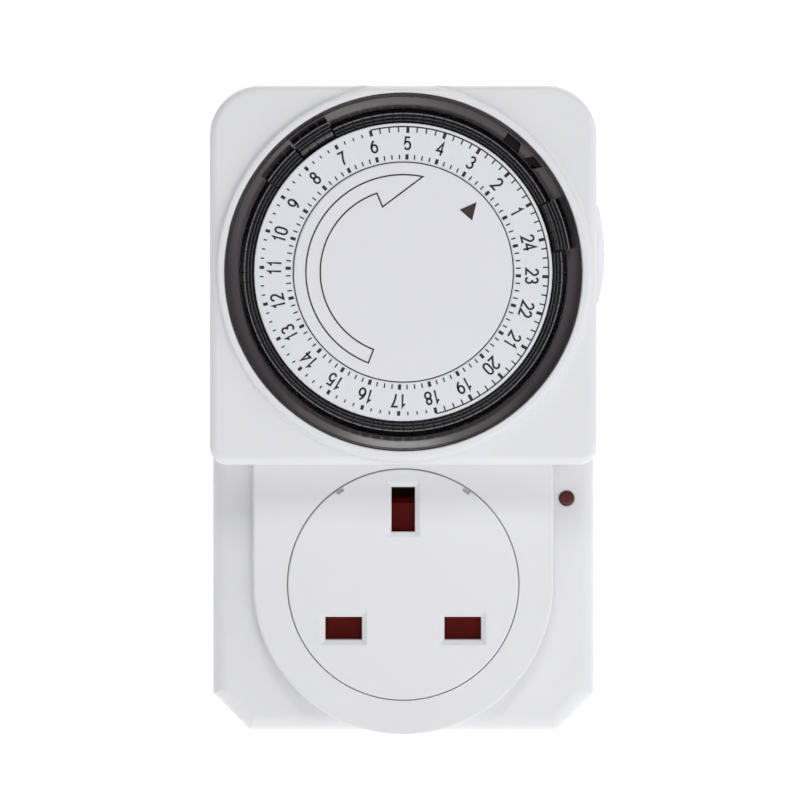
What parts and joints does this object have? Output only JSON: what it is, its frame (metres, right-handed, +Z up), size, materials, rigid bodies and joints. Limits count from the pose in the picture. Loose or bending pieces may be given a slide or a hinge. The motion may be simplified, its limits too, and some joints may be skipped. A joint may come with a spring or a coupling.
{
  "type": "plug-in timer switch",
  "caption": "Plug-in mains timer: a white case with rear plug pins, a front socket, and a turning dial ringed by push-out quarter-hour tappets",
  "frame": {"origin": "centre of the flat rear face of the plug platform, on the common axis of the rear plug and the front socket", "axes": "+Z up towards the dial; the front with the dial and socket faces -Y; +X is the right-hand side seen from the front; the plug pins point to +Y"},
  "size_m": [0.0734, 0.0639, 0.1205],
  "materials": {
    "white_housing": "injection moulded white ABS, satin gloss",
    "white_socket": "injection moulded white thermoset, satin gloss",
    "white_knob": "moulded white plastic with ribs",
    "white_dial": "moulded white plastic, fine satin, pad printed",
    "black_dial": "moulded black acetal",
    "dark_bezel": "polished dark brown-grey acrylic",
    "black_tappet": "moulded black acetal, glossy",
    "red_shutter": "moulded dark red plastic",
    "red_lens": "clear dark red acrylic",
    "pin_brass": "bright machined brass",
    "contact_brass": "stamped brass strip",
    "winding_copper": "enamelled copper wire",
    "zinc_steel": "zinc plated steel",
    "spring_steel": "drawn spring steel wire",
    "motor_steel": "drawn zinc plated sheet steel",
    "magnet_ferrite": "sintered ferrite magnet",
    "lamp_glass": "clear glass envelope",
    "black_sleeve": "moulded black insulating sleeve",
    "black_switch": "moulded black phenolic",
    "grey_insulation": "moulded grey glass-filled nylon",
    "natural_nylon": "moulded natural acetal"
  },
  "bodies": {
    "root": {"front_housing": "white_housing", "rear_housing": "white_housing", "housing_screws": "zinc_steel", "dial_bezel": "dark_bezel", "socket_face": "white_socket", "live_pin": "pin_brass", "neutral_pin": "pin_brass", "earth_pin": "pin_brass", "pin_sleeves": "black_sleeve", "shutter_spring": "spring_steel", "live_contact": "contact_brass", "neutral_contact": "contact_brass", "earth_contact": "contact_brass", "contact_carrier": "grey_insulation", "neon_lens": "red_lens", "neon_lamp": "lamp_glass", "centre_disc": "white_dial", "mechanism_plate": "grey_insulation", "motor_can": "motor_steel", "motor_lid": "motor_steel", "motor_bobbin": "natural_nylon", "motor_winding": "winding_copper", "switch_case": "black_switch"},
    "dial": {"dial_wheel": "black_dial", "dial_ring": "white_dial"},
    "shutter": {"socket_shutter": "red_shutter"},
    "lever": {"trip_lever": "black_switch"},
    "override": {"override_slider": "white_knob"},
    "plunger": {"switch_plunger": "natural_nylon"},
    "rotor": {"motor_rotor": "magnet_ferrite"},
    "train_gear_1": {"gear_1": "natural_nylon"},
    "train_gear_2": {"gear_2": "natural_nylon"},
    "train_gear_3": {"gear_3": "natural_nylon"},
    "train_gear_4": {"gear_4": "natural_nylon"},
    "clutch": {"clutch_wheel": "natural_nylon"},
    "drive": {"drive_pinion": "contact_brass"},
    "tappets_01": {"tappets_hour_01": "black_tappet"},
    "tappets_02": {"tappets_hour_02": "black_tappet"},
    "tappets_03": {"tappets_hour_03": "black_tappet"},
    "tappets_04": {"tappets_hour_04": "black_tappet"},
    "tappets_05": {"tappets_hour_05": "black_tappet"},
    "tappets_06": {"tappets_hour_06": "black_tappet"},
    "tappets_07": {"tappets_hour_07": "black_tappet"},
    "tappets_08": {"tappets_hour_08": "black_tappet"},
    "tappets_09": {"tappets_hour_09": "black_tappet"},
    "tappets_10": {"tappets_hour_10": "black_tappet"},
    "tappets_11": {"tappets_hour_11": "black_tappet"},
    "tappets_12": {"tappets_hour_12": "black_tappet"},
    "tappets_13": {"tappets_hour_13": "black_tappet"},
    "tappets_14": {"tappets_hour_14": "black_tappet"},
    "tappets_15": {"tappets_hour_15": "black_tappet"},
    "tappets_16": {"tappets_hour_16": "black_tappet"},
    "tappets_17": {"tappets_hour_17": "black_tappet"},
    "tappets_18": {"tappets_hour_18": "black_tappet"},
    "tappets_19": {"tappets_hour_19": "black_tappet"},
    "tappets_20": {"tappets_hour_20": "black_tappet"},
    "tappets_21": {"tappets_hour_21": "black_tappet"},
    "tappets_22": {"tappets_hour_22": "black_tappet"},
    "tappets_23": {"tappets_hour_23": "black_tappet"},
    "tappets_24": {"tappets_hour_24": "black_tappet"}
  },
  "joints": [
    {"name": "dial_turn", "type": "hinge", "parent": "root", "child": "dial", "pos_m": [0, 0, 0.058], "axis": [0, 1, 0], "continuous": true},
    {"name": "rotor_spin", "type": "hinge", "parent": "root", "child": "rotor", "pos_m": [-0.014, 0, 0.056], "axis": [0, 1, 0], "continuous": true},
    {"name": "gear_1_spin", "type": "hinge", "parent": "root", "child": "train_gear_1", "pos_m": [-0.0096, 0, 0.06362], "axis": [0, 1, 0], "continuous": true},
    {"name": "gear_2_spin", "type": "hinge", "parent": "root", "child": "train_gear_2", "pos_m": [-0.00093, 0, 0.06209], "axis": [0, 1, 0], "continuous": true},
    {"name": "gear_3_spin", "type": "hinge", "parent": "root", "child": "train_gear_3", "pos_m": [0.00694, 0, 0.06348], "axis": [0, 1, 0], "continuous": true},
    {"name": "gear_4_spin", "type": "hinge", "parent": "root", "child": "train_gear_4", "pos_m": [0.01134, 0, 0.05586], "axis": [0, 1, 0], "continuous": true},
    {"name": "clutch_wheel_spin", "type": "hinge", "parent": "root", "child": "clutch", "pos_m": [0.01597, 0, 0.05035], "axis": [0, 1, 0], "continuous": true},
    {"name": "drive_pinion_spin", "type": "hinge", "parent": "root", "child": "drive", "pos_m": [0.01597, 0, 0.05035], "axis": [0, 1, 0], "continuous": true},
    {"name": "lever_trip", "type": "hinge", "parent": "root", "child": "lever", "pos_m": [0.016, 0, 0.0869], "axis": [0, -1, 0], "range_deg": [0, 9.7]},
    {"name": "override_slide", "type": "slide", "parent": "root", "child": "override", "axis": [0, 0, 1], "range_m": [0, 0.0025]},
    {"name": "plunger_press", "type": "slide", "parent": "root", "child": "plunger", "axis": [0, 0, -1], "range_m": [0, 0.00161], "stiffness_N_per_m": 60, "springref_m": -0.0005},
    {"name": "shutter_slide", "type": "slide", "parent": "root", "child": "shutter", "axis": [0, 0, -1], "range_m": [0, 0.0064], "stiffness_N_per_m": 60, "springref_m": -0.003, "deforming": ["shutter_spring"]},
    {"name": "tappets_01_slide", "type": "slide", "parent": "dial", "child": "tappets_01", "axis": [0.8314, 0, 0.5556], "range_m": [0, 0.0016]},
    {"name": "tappets_02_slide", "type": "slide", "parent": "dial", "child": "tappets_02", "axis": [0.6593, 0, 0.7519], "range_m": [0, 0.0016]},
    {"name": "tappets_03_slide", "type": "slide", "parent": "dial", "child": "tappets_03", "axis": [0.4422, 0, 0.8969], "range_m": [0, 0.0016]},
    {"name": "tappets_04_slide", "type": "slide", "parent": "dial", "child": "tappets_04", "axis": [0.195, 0, 0.9808], "range_m": [0, 0.0016]},
    {"name": "tappets_05_slide", "type": "slide", "parent": "dial", "child": "tappets_05", "axis": [-0.0655, 0, 0.9979], "range_m": [0, 0.0016]},
    {"name": "tappets_06_slide", "type": "slide", "parent": "dial", "child": "tappets_06", "axis": [-0.3215, 0, 0.9469], "range_m": [0, 0.0016]},
    {"name": "tappets_07_slide", "type": "slide", "parent": "dial", "child": "tappets_07", "axis": [-0.5556, 0, 0.8314], "range_m": [-0.0016, 0]},
    {"name": "tappets_08_slide", "type": "slide", "parent": "dial", "child": "tappets_08", "axis": [-0.7519, 0, 0.6593], "range_m": [-0.00075, 0.00085]},
    {"name": "tappets_09_slide", "type": "slide", "parent": "dial", "child": "tappets_09", "axis": [-0.8969, 0, 0.4422], "range_m": [0, 0.0016]},
    {"name": "tappets_10_slide", "type": "slide", "parent": "dial", "child": "tappets_10", "axis": [-0.9808, 0, 0.195], "range_m": [0, 0.0016]},
    {"name": "tappets_11_slide", "type": "slide", "parent": "dial", "child": "tappets_11", "axis": [-0.9979, 0, -0.0655], "range_m": [0, 0.0016]},
    {"name": "tappets_12_slide", "type": "slide", "parent": "dial", "child": "tappets_12", "axis": [-0.9469, 0, -0.3215], "range_m": [0, 0.0016]},
    {"name": "tappets_13_slide", "type": "slide", "parent": "dial", "child": "tappets_13", "axis": [-0.8314, 0, -0.5556], "range_m": [0, 0.0016]},
    {"name": "tappets_14_slide", "type": "slide", "parent": "dial", "child": "tappets_14", "axis": [-0.6593, 0, -0.7519], "range_m": [0, 0.0016]},
    {"name": "tappets_15_slide", "type": "slide", "parent": "dial", "child": "tappets_15", "axis": [-0.4422, 0, -0.8969], "range_m": [0, 0.0016]},
    {"name": "tappets_16_slide", "type": "slide", "parent": "dial", "child": "tappets_16", "axis": [-0.195, 0, -0.9808], "range_m": [0, 0.0016]},
    {"name": "tappets_17_slide", "type": "slide", "parent": "dial", "child": "tappets_17", "axis": [0.0655, 0, -0.9979], "range_m": [0, 0.0016]},
    {"name": "tappets_18_slide", "type": "slide", "parent": "dial", "child": "tappets_18", "axis": [0.3215, 0, -0.9469], "range_m": [0, 0.0016]},
    {"name": "tappets_19_slide", "type": "slide", "parent": "dial", "child": "tappets_19", "axis": [0.5556, 0, -0.8314], "range_m": [0, 0.0016]},
    {"name": "tappets_20_slide", "type": "slide", "parent": "dial", "child": "tappets_20", "axis": [0.7519, 0, -0.6593], "range_m": [0, 0.0016]},
    {"name": "tappets_21_slide", "type": "slide", "parent": "dial", "child": "tappets_21", "axis": [0.8969, 0, -0.4422], "range_m": [0, 0.0016]},
    {"name": "tappets_22_slide", "type": "slide", "parent": "dial", "child": "tappets_22", "axis": [0.9808, 0, -0.195], "range_m": [0, 0.0016]},
    {"name": "tappets_23_slide", "type": "slide", "parent": "dial", "child": "tappets_23", "axis": [0.9995, 0, 0.0328], "range_m": [0, 0.0016]},
    {"name": "tappets_24_slide", "type": "slide", "parent": "dial", "child": "tappets_24", "axis": [0.9569, 0, 0.2904], "range_m": [-0.0016, 0]}
  ],
  "couplings": [
    {"joint": "gear_1_spin", "follows": "rotor_spin", "ratio": -0.1},
    {"joint": "gear_2_spin", "follows": "rotor_spin", "ratio": 0.01},
    {"joint": "gear_3_spin", "follows": "rotor_spin", "ratio": -0.0011111},
    {"joint": "gear_4_spin", "follows": "rotor_spin", "ratio": 0.00011111},
    {"joint": "clutch_wheel_spin", "follows": "rotor_spin", "ratio": -0.000022222},
    {"joint": "drive_pinion_spin", "follows": "dial_turn", "ratio": -8},
    {"joint": "lever_trip", "follows": "override_slide", "rad_per_m": 67.568},
    {"joint": "plunger_press", "follows": "override_slide", "ratio": 0.64189}
  ]
}
